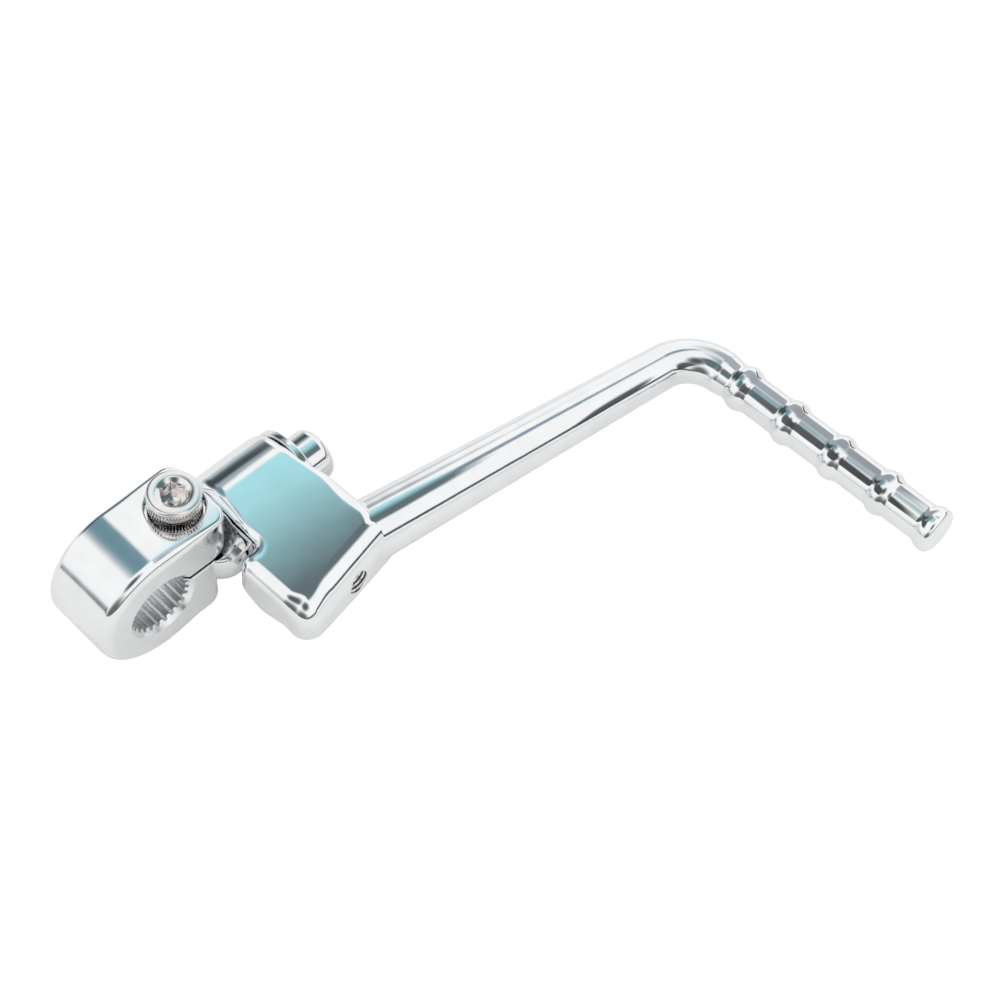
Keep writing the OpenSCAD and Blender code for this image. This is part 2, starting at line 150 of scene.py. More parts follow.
class LeverScrewSizes(bpy.types.PropertyGroup):
    """Sizes of the two socket head cap screws"""
    shank_r: length("Shank radius", "Radius of both screws' shanks", 0.004)
    head_r: length("Pinch head radius", "Radius of the pinch screw's head", 0.0065)
    head_h: length("Pinch head height", "Height of the pinch screw's head", 0.008)
    pivot_head_r: length("Pivot head radius", "Radius of the pivot screw's head", 0.0067)
    pivot_head_h: length("Pivot head height", "Height of the pivot screw's head", 0.0084)
    pinch_len: length("Pinch screw length", "Length of the pinch screw under its head", 0.025)
    pivot_len: length("Pivot screw length", "Length of the pivot screw under its head", 0.019)
    socket: length("Socket", "Size across the flats of the sockets", 0.006)
    socket_depth: length("Socket depth", "Depth of the sockets", 0.0042)
    knurls: number("Knurls", "Number of ridges round the pinch screw's head", 52)
    knurl_depth: length("Knurl depth", "Depth of the ridges", 0.00042)


class LeverArmSizes(bpy.types.PropertyGroup):
    """Sizes of the forged arm and its head"""
    near_x: length("Near face", "Distance of the head's near face from the bore", 0.0233)
    far_x: length("Far face", "Distance of the washer's seat from the bore", 0.0459)
    head_r: length("Head radius", "Radius of the head round the pivot", 0.012)
    reach: length("Head reach", "Distance of the head's outboard side from the pivot", 0.0374)
    lean: angle("Head taper", "Angle at which the head's faces close towards the outboard side", 8.34)
    edge_r: length("Head edge", "Rounding of the head's near and far edges", 0.0052)
    brow_r: length("Outboard edge", "Rounding of the head's upper outboard edge", 0.0070)
    under_r: length("Under edge", "Rounding of the head's lower edges", 0.0034)
    seat_edge_r: length("Seat edge", "Rounding of the head's rim beside the washer", 0.0030)
    lobe_end_r: length("Lobe underside", "Rounding under the stop lobe's end", 0.009)
    far_corner: length("Far corner", "Radius of the head's far outboard corner seen from above", 0.0024)
    lobe_x: length("Lobe reach", "Distance of the stop lobe's near side from the bore", 0.0172)
    lobe_gap: length("Lobe gap", "Distance of the lobe's inner face from the pivot", 0.015)
    flare_x: length("Flare", "Distance of the head's far side from the bore", 0.0522)
    seat_reach: length("Seat reach", "Radius of the washer's seat", 0.0119)
    root_r: length("Root radius", "Radius of the arm at its root", 0.0079)
    end_r: length("Bend radius of section", "Radius of the arm at the bend", 0.00565)
    root_y: length("Root place", "Distance of the arm's root outboard of the bore", 0.0262)
    splay: angle("Arm splay", "Angle that the arm leans outboard", 8.5)
    reach_x: length("Arm reach", "Distance from the bore to the peg's axis", 0.1453)
    bend_r: length("Bend radius", "Radius of the bend along the arm's axis", 0.012)
    drilling_r: length("Drilling radius", "Radius of the detent's drilling", 0.003)


class LeverPegSizes(bpy.types.PropertyGroup):
    """Sizes of the ribbed foot peg"""
    radius: length("Peg radius", "Radius of the peg between its ribs", 0.0051)
    rib_r: length("Rib radius", "Radius over the ribs", 0.00605)
    ribs: number("Ribs", "Number of ribs before the tip", 4)
    pitch: length("Rib pitch", "Distance from rib to rib", 0.0147)
    half_w: length("Rib half width", "Half the width of a rib with its blends", 0.0031)
    first: length("First rib", "Distance of the first rib from the bend's corner", 0.0169)
    tip: length("Tip length", "Length of the rounded end beyond the tip's crest", 0.0024)
    splay: angle("Peg splay", "Angle that the peg leans away from square to the pivot", 3.5)


class LeverFinishes(bpy.types.PropertyGroup):
    """Colours of the finishes and of the stage"""
    chrome: colour("Polished plating", "Colour of the polished forgings", (0.93, 0.94, 0.945))
    bore: colour("Broached bore", "Colour of the splined bore", (0.97, 0.975, 0.98))
    grain: colour("Cast grain", "Colour of the unpolished pocket", (0.80, 0.83, 0.84))
    stainless: colour("Stainless steel", "Colour of the pinch screw", (0.90, 0.86, 0.84))
    steel: colour("Hardened steel", "Colour of the ball and the spring", (0.62, 0.62, 0.64))
    oxide: colour("Black oxide", "Colour of the grub screw", (0.16, 0.16, 0.18))
    floor: colour("Floor", "Colour of the floor", (0.93, 0.93, 0.93))


GROUPS = {
    "lever_clamp": LeverClampSizes,
    "lever_pivot": LeverPivotSizes,
    "lever_screws": LeverScrewSizes,
    "lever_arm": LeverArmSizes,
    "lever_peg": LeverPegSizes,
    "lever_finish": LeverFinishes,
}


class Sizes:
    """The lengths of one property group in millimetres, its angles in radians, its counts as they are."""

    def __init__(self, group):
        for name, prop in group.bl_rna.properties.items():
            if prop.type in {"FLOAT", "INT"} and not getattr(prop, "is_array", False):
                value = getattr(group, name)
                setattr(self, name, value / MM if prop.unit == "LENGTH" else value)


# Distance fields: a field gives how far a point lies outside a solid, below zero inside it.

def ease(value, low, high):
    """0 below low, 1 above high, and a soft step between."""
    t = np.clip((value - low) / (high - low), 0, 1)
    return t * t * (3 - 2 * t)


def join(a, b, fillet):
    """Two solids in one, with a fillet in the corner between them."""
    return np.maximum(fillet, np.minimum(a, b)) - np.hypot(
        np.maximum(fillet - a, 0), np.maximum(fillet - b, 0))


def meet(a, b, edge):
    """What two solids share, with a rounded edge."""
    return np.minimum(-edge, np.maximum(a, b)) + np.hypot(
        np.maximum(edge + a, 0), np.maximum(edge + b, 0))


def roll(a, b, edge, power=2.4):
    """What two solids share, with an edge that rolls off as softly as hand polishing leaves it."""
    return np.minimum(-edge, np.maximum(a, b)) + (
        np.maximum(edge + a, 0) ** power + np.maximum(edge + b, 0) ** power) ** (1 / power)


def cut(a, b, edge):
    """The first solid less the second, with a rounded rim."""
    return meet(a, -b, edge)


def half_plane(u, v, through, toward):
    """A half plane whose edge runs from one point to another, with the solid on the edge's left."""
    du, dv = toward[0] - through[0], toward[1] - through[1]
    run = math.hypot(du, dv)
    return ((u - through[0]) * dv - (v - through[1]) * du) / run


def clamp_solid(size, pivot):
    """The clamp without its splined bore: ring, ear, jaw, neck, stop lug and post."""
    half = size.width / 2
    ear_cx = size.ear_x - size.ear_corner_r
    ear_cz = size.slit_top + size.ear_corner_r
    foot_turn, foot_inset = math.radians(50), 0.2
    foot = (ear_cx + size.pocket_r * math.cos(foot_turn) - foot_inset,
            ear_cz - size.pocket_r * math.sin(foot_turn) + foot_inset)
    slope_top = (pivot.neck_end, 11.4)
    jaw_lean = 0.05
    neck_root, post_root, hole_end = 13, 20, 26
    lug_middle, lug_foot = 19, 3.05
    ball_orbit = pivot.post_r - pivot.track_depth + pivot.ball_r
    groove_r = pivot.ball_r + 0.05
    clear_hole_r, threaded_hole_r = 4.4, 4.05

    def free_space(x, z):
        """The slit and the pocket over the jaw, seen along the bore."""
        slit = np.maximum(size.slit_low - z, x - ear_cx)
        round_part = np.hypot(x - ear_cx, z - ear_cz) - size.pocket_r
        slope = np.maximum(half_plane(x, z, foot, slope_top),
                           half_plane(x, z, (ear_cx, ear_cz), foot))
        return np.minimum(np.minimum(slit, round_part), slope)

    def cone(x, out):
        """The cone by which the neck grows out of the jaw's side."""
        return (out - pivot.neck_r + 3 - (x - size.jaw_x + 1.2)) * math.sqrt(0.5)

    def field(x, y, z):
        sides = np.abs(y) - half
        circle = np.hypot(x, z) - size.ring_r
        jaw_side = x - size.jaw_x - jaw_lean * (size.slit_top - z)
        jaw = meet(jaw_side, -size.jaw_drop - z, size.jaw_corner_r)
        jaw = np.maximum(jaw, np.maximum(-x, z - size.slit_top))
        outer_rim = np.where(y > 0, size.rear_r, size.edge_r)
        rim = outer_rim + (0.5 - outer_rim) * ease(x, 9, 14) * ease(z, -9, 3)
        ring = meet(join(circle, jaw, 1.0), sides, rim)
        top_edge = outer_rim + (size.ear_edge_r - outer_rim) * ease(x, 2, 18)
        ear = meet(meet(x - size.ear_x, sides, size.ear_plan_r), z - size.ring_r, top_edge)
        ear = np.maximum(ear, np.maximum(-x, -z))
        free = free_space(x, z)
        ear_kept = meet(x - size.ear_x, size.slit_top - z, size.ear_corner_r)
        opening = np.maximum(np.maximum(free, -ear_kept), size.slit_start - x)
        body = cut(np.minimum(ring, ear), opening, 0.45)

        out = np.hypot(y + pivot.offset, z)
        neck = meet(meet(out - pivot.neck_r, cone(x, out), 1.5), x - pivot.neck_end, 0.6)
        neck = np.maximum(neck, neck_root - x)
        lug_side = half_plane(y, z, (-pivot.offset - pivot.lug_reach, pivot.lug_top),
                              (-pivot.offset - pivot.neck_r * 0.97, lug_foot))
        lug_ends = np.abs(x - lug_middle) - (pivot.neck_end - lug_middle)
        lug = meet(meet(lug_side, z - pivot.lug_top, 0.8), lug_ends, 0.6)
        lug = np.maximum(lug, np.maximum(lug_foot - z, y + pivot.offset))
        neck = cut(np.minimum(neck, lug), free, 0.5)
        post = np.maximum(meet(out - pivot.post_r, x - pivot.post_end, 0.5), post_root - x)
        post = cut(post, np.hypot(out - ball_orbit, x - pivot.track_x) - groove_r, 0.15)
        for py, pz in ((-1, 0), (0, -1)):
            reach = ball_orbit - pivot.pocket_drop
            off = np.hypot(y + pivot.offset - py * reach, z - pz * reach)
            post = cut(post, np.hypot(x - pivot.track_x, off) - groove_r, 0.1)
        solid = np.minimum(np.minimum(body, neck), post)
        around = np.hypot(x - size.pinch_x, y)
        solid = cut(solid, np.maximum(around - size.seat_r, size.seat_z - z), 0.35)
        hole_r = np.where(z > (size.slit_low + size.slit_top) / 2, clear_hole_r, threaded_hole_r)
        solid = cut(solid, around - hole_r, 0.3)
        return np.maximum(solid, -np.maximum(out - threaded_hole_r, hole_end - x))

    def unpolished(x, y, z):
        """How far a point lies from the pocket's walls and the neck's cone, which keep their grain."""
        return np.minimum(np.abs(free_space(x, z)), np.abs(cone(x, np.hypot(y + pivot.offset, z))))

    return field, unpolished


def arm_solid(size, pivot, peg):
    """The arm: head with stop lobe, tapered bar, bend and ribbed peg, less the bore, the seat and the drilling."""
    y0 = -pivot.offset
    near_corner, side_turn = 4.2, math.radians(11.07)
    near_c = (size.lobe_x + 5.77, y0 - size.reach + near_corner)
    lobe_y = y0 - size.lobe_gap
    head_middle, crown_middle, crown_height = 36, 16, 0.25
    seat_flare, bore_gap, drilling_end = 0.9, 0.05, -8
    steepest_rib = 1.15
    splay = size.splay
    along_x, along_y = math.cos(splay), -math.sin(splay)
    across_x, across_y = math.sin(splay), math.cos(splay)
    corner = (size.reach_x, -size.root_y - (size.reach_x - size.far_x) * math.tan(splay))
    turn = math.pi / 2 - splay - peg.splay
    tangent = size.bend_r * math.tan(turn / 2)
    bar_len = (size.reach_x - size.far_x) / math.cos(splay) - tangent
    centre = (corner[0] - tangent * along_x - size.bend_r * across_x,
              corner[1] - tangent * along_y - size.bend_r * across_y)
    down_x, down_y = math.sin(peg.splay), -math.cos(peg.splay)
    tip_s = peg.first + peg.ribs * peg.pitch
    end_s = tip_s + peg.tip

    def bump(s):
        """How far a rib stands out, at a distance from its crest."""
        t = np.minimum(np.abs(s) / peg.half_w, 1)
        return (peg.rib_r - peg.radius) * (0.5 + 0.5 * np.cos(math.pi * t ** 1.35))

    def peg_radius(s):
        """The peg's radius at a distance from the bend's corner."""
        r = np.interp(s, [tangent, peg.first - peg.half_w], [size.end_r, peg.radius])
        for i in range(peg.ribs):
            r = r + bump(s - peg.first - i * peg.pitch)
        return r + bump(np.minimum(s - tip_s, 0))

    def bar(x, y, z):
        """The tapered bar, the bend and the peg."""
        bx, by = x - size.far_x, y + size.root_y
        s = bx * along_x + by * along_y
        t = bx * across_x + by * across_y
        held = np.clip(s, -2, bar_len)
        r = size.root_r + (size.end_r - size.root_r) * np.maximum(held, 0) / bar_len
        rod = np.sqrt((s - held) ** 2 + t ** 2 + z ** 2) - r
        cx, cy = x - centre[0], y - centre[1]
        phi = np.clip(np.arctan2(cx * along_x + cy * along_y, cx * across_x + cy * across_y), 0, turn)
        qx = size.bend_r * (across_x * np.cos(phi) + along_x * np.sin(phi))
        qy = size.bend_r * (across_y * np.cos(phi) + along_y * np.sin(phi))
        elbow = np.sqrt((cx - qx) ** 2 + (cy - qy) ** 2 + z ** 2) - size.end_r
        px, py = x - corner[0], y - corner[1]
        s = px * down_x + py * down_y
        t = px * down_y - py * down_x
        held = np.maximum(s, tangent)
        handle = (np.sqrt((s - held) ** 2 + t ** 2 + z ** 2) - peg_radius(held)) / steepest_rib
        handle = meet(handle, s - end_s, 1.7)
        return np.minimum(np.minimum(rod, elbow), handle)

    def field(x, y, z):
        d = y0 - y
        up = np.abs(z)
        off = d * math.sin(size.lean) + up * math.cos(size.lean)
        along = d * math.cos(size.lean) - up * math.sin(size.lean)
        run = 4 + 3 * np.logaddexp(0, (d - 4) / 3)
        crown = 0.0016 * (x - head_middle) ** 2 + 0.0013 * (run - crown_middle) ** 2 - crown_height
        profile = np.where(along > 0, off, np.hypot(d, z)) - size.head_r + crown * ease(-x, -54, -50)
        side = (x - near_c[0]) * math.sin(side_turn) - (y - near_c[1]) * math.cos(side_turn) - near_corner
        slant = half_plane(x, y, (size.flare_x, y0 - 25.0), (size.far_x + 0.4, y0))
        far = np.minimum(x - size.far_x, meet(slant, x - size.flare_x, 3.0))
        near = size.near_x - x
        lobe_side = half_plane(x, y, (size.lobe_x, lobe_y - 3), (size.lobe_x + 1.57, lobe_y - 18.2))
        plan = join(meet(lobe_side, y - lobe_y, 3.2), near, 1.6)
        plan = meet(meet(plan, side, 5.0), far, size.far_corner)
        beside_pivot = ease(-d, -20, -10)
        above, below = ease(z, -1, 3), ease(-z, 0, 4)
        outboard = ease(side, -9, -5)
        upper = size.edge_r - 1.2 * ease(-x, -30, -24) + (size.brow_r - size.edge_r) * outboard
        edge = size.under_r + (upper - size.under_r) * above
        edge = edge + (size.seat_edge_r - edge) * ease(x, 38, 42) * beside_pivot
        edge = edge + (3.6 - 1.4 * ease(d, 2, 12) - edge) * ease(-x, -34, -28) * beside_pivot
        head = roll(plan, profile, edge)
        lobe_end = meet(y - lobe_y, profile, size.lobe_end_r)
        under = meet(meet(lobe_side, side, 5.0), lobe_end, 3.2 + 2.4 * below * (1 - outboard))
        under = join(meet(near, profile, 3.0), under, 1.0)
        head = np.maximum(head, np.minimum(under, -z))
        solid = join(head, bar(x, y, z), 0.01 + 0.8 * ease(x, 49.5, 51.5))
        out = np.hypot(y - y0, z)
        seat = (out - size.seat_reach - seat_flare * (x - size.far_x)) / math.hypot(1, seat_flare)
        seat = np.maximum(size.far_x - x, seat)
        seat = np.maximum(seat, x - size.flare_x - 0.5)
        solid = cut(solid, seat, 0.25)
        solid = cut(solid, out - pivot.post_r - bore_gap, 0.3)
        drilling = np.maximum(np.hypot(x - pivot.track_x, z) - size.drilling_r, y - drilling_end)
        return cut(solid, drilling, 0.5)

    return field


# Meshing

def sample(field, low, high, cell):
    """The field on a grid of cubes, worked out finely only near the surface."""
    block = 8
    counts = np.ceil((high - low) / (cell * block)).astype(int)
    axes = [low[a] + cell * np.arange(counts[a] * block) for a in range(3)]
    middles = [axes[a].reshape(-1, block).mean(1) for a in range(3)]
    rough = field(*np.meshgrid(*middles, indexing="ij"))
    grid = np.repeat(np.repeat(np.repeat(rough, block, 0), block, 1), block, 2)
    split = grid.reshape(counts[0], block, counts[1], block, counts[2], block)
    near = np.argwhere(np.abs(rough) < cell * block)
    for start in range(0, len(near), 800):
        i, j, k = near[start:start + 800].T
        x = axes[0].reshape(-1, block)[i][:, :, None, None]
        y = axes[1].reshape(-1, block)[j][:, None, :, None]
        z = axes[2].reshape(-1, block)[k][:, None, None, :]
        split[i, :, j, :, k, :] = field(x, y, z)
    return grid


def skin(grid, low, cell):
    """Points and quads of the surface through a grid of distances, one point in each cube that it crosses."""
    inside = grid < 0
    corners = [(a, b, c) for a in (0, 1) for b in (0, 1) for c in (0, 1)]
    nx, ny, nz = (n - 1 for n in grid.shape)
    count = sum(inside[a:a + nx, b:b + ny, c:c + nz].astype(np.uint8) for a, b, c in corners)
    crossed = (count > 0) & (count < 8)
    cells = np.argwhere(crossed)
    numbers = np.full(crossed.shape, -1, np.int64)
    numbers[crossed] = np.arange(len(cells))
    values = {c: grid[tuple((cells + c).T)] for c in corners}
    total, hits = np.zeros((len(cells), 3)), np.zeros(len(cells))
    for one in corners:
        for axis in range(3):
            if one[axis]:
                continue
            other = tuple(v + (i == axis) for i, v in enumerate(one))
            a, b = values[one], values[other]
            crossing = (a < 0) != (b < 0)
            point = np.tile(np.array(one, float), (len(cells), 1))
            point[:, axis] = a / np.where(crossing, a - b, 1)
            total[crossing] += point[crossing]
            hits += crossing
    points = low + cell * (cells + total / hits[:, None])
    quads = []
    for axis in range(3):
        u, v = (axis + 1) % 3, (axis + 2) % 3
        first = np.moveaxis(inside, axis, 0)[:-1]
        second = np.moveaxis(inside, axis, 0)[1:]
        found = np.argwhere(first != second)
        solid_first = first[tuple(found.T)]
        order = [axis] + [a for a in range(3) if a != axis]
        edges = np.empty_like(found)
        edges[:, order] = found
        ring = []
        for du, dv in ((1, 1), (0, 1), (0, 0), (1, 0)):
            cell_of = edges.copy()
            cell_of[:, u] -= du
            cell_of[:, v] -= dv
            ring.append(numbers[tuple(cell_of.T)])
        quad = np.stack(ring, 1)
        quad[~solid_first] = quad[~solid_first][:, ::-1]
        quads.append(quad)
    return points, np.concatenate(quads)


def normals_of(field, points, step=0.02):
    """Unit normals of a field's surface at the points."""
    x, y, z = points.T
    slope = np.stack([field(x + step, y, z) - field(x - step, y, z),
                      field(x, y + step, z) - field(x, y - step, z),
                      field(x, y, z + step) - field(x, y, z - step)], 1)
    return slope / np.maximum(np.linalg.norm(slope, axis=1, keepdims=True), 1e-9)


def settle(field, points, quads, cell, passes=4):
    """Evens out the points over the surface and lays each one on it."""
    ends = np.concatenate([quads[:, [0, 1]], quads[:, [1, 2]], quads[:, [2, 3]], quads[:, [3, 0]]])
    ends = np.unique(np.sort(ends, 1), axis=0)
    a, b = ends.T
    degree = np.bincount(a, minlength=len(points)) + np.bincount(b, minlength=len(points))
    for turn in range(passes):
        if turn < passes - 1:
            count = len(points)
            mean = np.stack([np.bincount(a, points[b, i], count) + np.bincount(b, points[a, i], count)
                             for i in range(3)], 1) / degree[:, None]
            normals = normals_of(field, points)
            shift = (mean - points) * 0.6
            points = points + shift - normals * np.sum(shift * normals, 1, keepdims=True)
        for _ in range(2):
            depth = np.clip(field(*points.T), -cell, cell)
            points = points - normals_of(field, points) * depth[:, None]
    return points


def new_object(name, points, faces, materials, which=None):
    """A smooth mesh object from points in millimetres, with the number of each face's material."""
    mesh = bpy.data.meshes.new(name)
    mesh.from_pydata((points * MM).tolist(), [], faces)
    for material in materials:
        mesh.materials.append(material)
    mesh.polygons.foreach_set("use_smooth", np.ones(len(mesh.polygons), bool))
    if which is not None:
        mesh.polygons.foreach_set("material_index", which.astype(np.int32))
    mesh.update()
    obj = bpy.data.objects.new(name, mesh)
    bpy.context.scene.collection.objects.link(obj)
    return obj


def stand_in(obj, body, node):
    """Sets a piece on its body in the place of its packed node."""
    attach(obj, body)
    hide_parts(node)


def formed(field, low, high, cell):
    """Points and quads of a field's solid."""
    low, high = np.array(low, float), np.array(high, float)
    points, quads = skin(sample(field, low, high, cell), low, cell)
    return settle(field, points, quads, cell), quads


def turned(stations, columns, closed=True):
    """A turned form about Z. A station is (radius, height), with one radius or one for each column."""
    turn = np.arange(columns) * 2 * math.pi / columns
    points = []
    for r, h in stations:
        r = np.broadcast_to(np.asarray(r, float), (columns,))
        points.append(np.stack([r * np.cos(turn), r * np.sin(turn), np.full(columns, float(h))], 1))
    points = np.concatenate(points)
    faces = []
    for i in range(len(stations) - 1):
        for j in range(columns):
            k = (j + 1) % columns
            faces.append((i * columns + j, i * columns + k, (i + 1) * columns + k, (i + 1) * columns + j))
    last = (len(stations) - 1) * columns
    if closed:
        faces.append(tuple(range(columns))[::-1])
        faces.append(tuple(last + j for j in range(columns)))
    else:
        for j in range(columns):
            k = (j + 1) % columns
            faces.append((last + j, last + k, k, j))
    return points, faces


def arc(r, h, radius, start, end, steps=8):
    """Stations round an arc centred at radius r and height h, from one angle to another in degrees."""
    out = []
    for i in range(steps + 1):
        a = math.radians(start + (end - start) * i / steps)
        out.append((r + radius * math.cos(a), h + radius * math.sin(a)))
    return out


def placed(points, place, axis):
    """Points moved so that their Z axis points along X or Z from a place."""
    if axis == "X":
        points = np.stack([points[:, 2], points[:, 1], -points[:, 0]], 1)
    return points + np.array(place, float)


# Materials

class Paint:
    """The node tree of a material or of the world, with makers for what is used again and again."""

    def __init__(self, tree):
        self.nodes, self.links = tree.nodes, tree.links
        self.nodes.clear()

    def add(self, kind, inputs=None, **settings):
        """A node with its settings, and with each input set to a constant or joined to an output."""
        node = self.nodes.new(kind)
        for name, value in settings.items():
            setattr(node, name, value)
        for key, value in (inputs or {}).items():
            socket = node.inputs[key]
            if isinstance(value, bpy.types.NodeSocket):
                self.links.new(value, socket)
            else:
                socket.default_value = (*value, 1) if socket.type == "RGBA" else value
        return node

    def noise(self, scale, detail=4.0, stretch=(1, 1, 1)):
        """Noise in the object's own space, at a scale for each unit of it."""
        coords = self.add("ShaderNodeTexCoord")
        mapping = self.add("ShaderNodeMapping", {"Vector": coords.outputs["Object"], "Scale": stretch})
        return self.add("ShaderNodeTexNoise", {
            "Vector": mapping.outputs["Vector"], "Scale": scale, "Detail": detail}).outputs["Fac"]

    def span(self, source, low, high, start=0.3, end=0.7):
        """A value run from one range to another."""
        return self.add("ShaderNodeMapRange", {
            "Value": source, "From Min": start, "From Max": end, "To Min": low, "To Max": high}).outputs["Result"]

    def tint(self, source, low, high):
        """A colour between two, by a value from 0 to 1."""
        return self.add("ShaderNodeMix", {"Factor": source, "A": low, "B": high}, data_type="RGBA").outputs["Result"]

    def relief(self, height, strength, distance, under=None):
        """A bump from a height, on top of another bump."""
        inputs = {"Strength": strength, "Distance": distance, "Height": height}
        if under is not None:
            inputs["Normal"] = under
        return self.add("ShaderNodeBump", inputs).outputs["Normal"]

    def choose(self, factor, first, second):
        """One surface where the factor is 0 and another where it is 1."""
        return self.add("ShaderNodeMixShader", {"Fac": factor, 1: first, 2: second}).outputs["Shader"]

    def cover(self, surface):
        """Makes a surface the material's own."""
        self.add("ShaderNodeOutputMaterial", {"Surface": surface})

    def metal(self, tone, roughness, normal):
        """Covers the material in metal."""
        self.cover(self.add("ShaderNodeBsdfPrincipled", {
            "Base Color": tone, "Metallic": 1.0, "Roughness": roughness, "Normal": normal}).outputs["BSDF"])


def new_material(name):
    """An empty material and its paint."""
    material = bpy.data.materials.new(name)
    material.use_nodes = True
    return material, Paint(material.node_tree)


def shaded(base, share_kept):
    """A colour made darker."""
    return [channel * share_kept for channel in base]


def bright_metal(name, base, dark, rough, wave, scratch, stretch=(1, 1, 1)):
    """A bright metal: tone and gloss that vary a little, slow waves from polishing and fine scratches.

    The waves and the scratches are each given by a scale per metre and a height in metres.
    """
    material, paint = new_material(name)
    slow = paint.relief(paint.noise(wave[0], 1.5), 1.0, wave[1])
    fine = paint.relief(paint.noise(scratch[0], 2, stretch), 1.0, scratch[1], slow)
    patches = paint.span(paint.noise(140, 3), 0, 1)
    paint.metal(paint.tint(patches, shaded(base, dark), base), paint.span(paint.noise(420, 5), *rough), fine)
    return material


def cast_grain(name, base):
    """The skin of the forging where it wasn't polished: pits and grains with a satin shine."""
    material, paint = new_material(name)
    grains, pits = paint.noise(1500, 6), paint.noise(520, 3)
    tone = paint.tint(paint.span(grains, 0, 1, 0.35, 0.65), shaded(base, 0.35), base)
    fine = paint.relief(grains, 0.8, 0.00022, paint.relief(pits, 0.9, 0.0005))
    paint.metal(tone, paint.span(pits, 0.2, 0.42), fine)
    return material


def threaded(name, base, pitch):
    """Bright metal with a thread of the given pitch, for the wall of the detent's drilling."""
    material, paint = new_material(name)
    wave = paint.add("ShaderNodeTexWave", {
        "Vector": paint.add("ShaderNodeTexCoord").outputs["Object"],
        "Scale": 1 / (math.pi * pitch)}, bands_direction="Y", wave_profile="TRI")
    tone = paint.tint(paint.span(paint.noise(900, 3), 0, 1), shaded(base, 0.8), base)
    paint.metal(tone, paint.span(paint.noise(1500, 3), 0.15, 0.3), paint.relief(wave.outputs["Fac"], 1.0, 0.0005))
    return material


def floor_paint(name, base):
    """A matt floor with a faint tone of its own, lifted to paper white for the camera alone."""
    material, paint = new_material(name)
    matt = paint.add("ShaderNodeBsdfPrincipled", {
        "Base Color": paint.tint(paint.noise(90, 2), shaded(base, 0.995), base),
        "Roughness": 0.9, "Specular IOR Level": 0.0}).outputs["BSDF"]
    lift = paint.add("ShaderNodeEmission", {"Color": (1.0, 0.96, 0.94), "Strength": 0.3})
    lifted = paint.add("ShaderNodeAddShader", {0: matt, 1: lift.outputs["Emission"]})
    rays = paint.add("ShaderNodeLightPath")
    paint.cover(paint.choose(rays.outputs["Is Camera Ray"], matt, lifted.outputs["Shader"]))
    return material


def make_finishes(colours):
    """The part's finishes, each by its short name."""
    chrome, bore, grain, stainless, steel, oxide = (
        list(getattr(colours, name)) for name in ("chrome", "bore", "grain", "stainless", "steel", "oxide"))
    plated = shaded(chrome, 0.98)
    return {
        "chrome": bright_metal("polished_plating", chrome, 0.94, (0.04, 0.10), (90, 0.00008), (2600, 0.000003)),
        "bore": bright_metal(
            "broached_bore", bore, 0.95, (0.16, 0.3), (200, 0.00003), (1800, 0.000006), (1, 0.1, 1)),
        "thread": threaded("tapped_wall", chrome, 0.001),
        "grain": cast_grain("forged_grain", grain),
        "stainless": bright_metal(
            "stainless_steel", stainless, 0.92, (0.05, 0.12), (300, 0.00003), (3000, 0.000004)),
        "plated": bright_metal("bright_plating", plated, 0.93, (0.05, 0.12), (200, 0.00003), (2600, 0.000003)),
        "steel": bright_metal("hardened_steel", steel, 0.9, (0.12, 0.22), (300, 0.00001), (3000, 0.000003)),
        "oxide": bright_metal("black_oxide", oxide, 0.75, (0.3, 0.45), (400, 0.00002), (3000, 0.00001)),
    }


FINISHES = {}


def finish(key):
    """One of the part's finishes. They are made when the first one is asked for."""
    if not FINISHES:
        FINISHES.update(make_finishes(bpy.context.scene.lever_finish))
    return FINISHES[key]


# Pieces

def spline_tool(size):
    """The shape of the splined bore with its mouth cones, as a solid to cut with."""
    half, root_r = size.width / 2, size.tip_r + size.groove
    steps = 12
    columns = size.teeth * steps
    mouth_half = (1 - size.tip_share) / 2
    floor_half = mouth_half * 0.66
    t = np.abs((np.arange(columns) / steps) % 1 - 0.5)
    profile = np.interp(t, [floor_half, mouth_half], [root_r, size.tip_r])
    corner_cut = 0.05 * ease(t, floor_half - 0.08, floor_half)
    profile = profile - corner_cut * (t < mouth_half)
    stations = []
    cone_top = root_r + size.mouth
    past_face = 1.0
    depths = np.concatenate([[-past_face], np.linspace(0, cone_top - size.tip_r + 0.1, 14)])
    for depth in depths:
        stations.append((np.maximum(profile, cone_top - depth), half - depth))
    for depth in depths[::-1]:
        stations.append((np.maximum(profile, cone_top - depth), depth - half))
    points, faces = turned(stations, columns)
    points = np.stack([points[:, 0], points[:, 2], points[:, 1]], 1)
    return points, faces


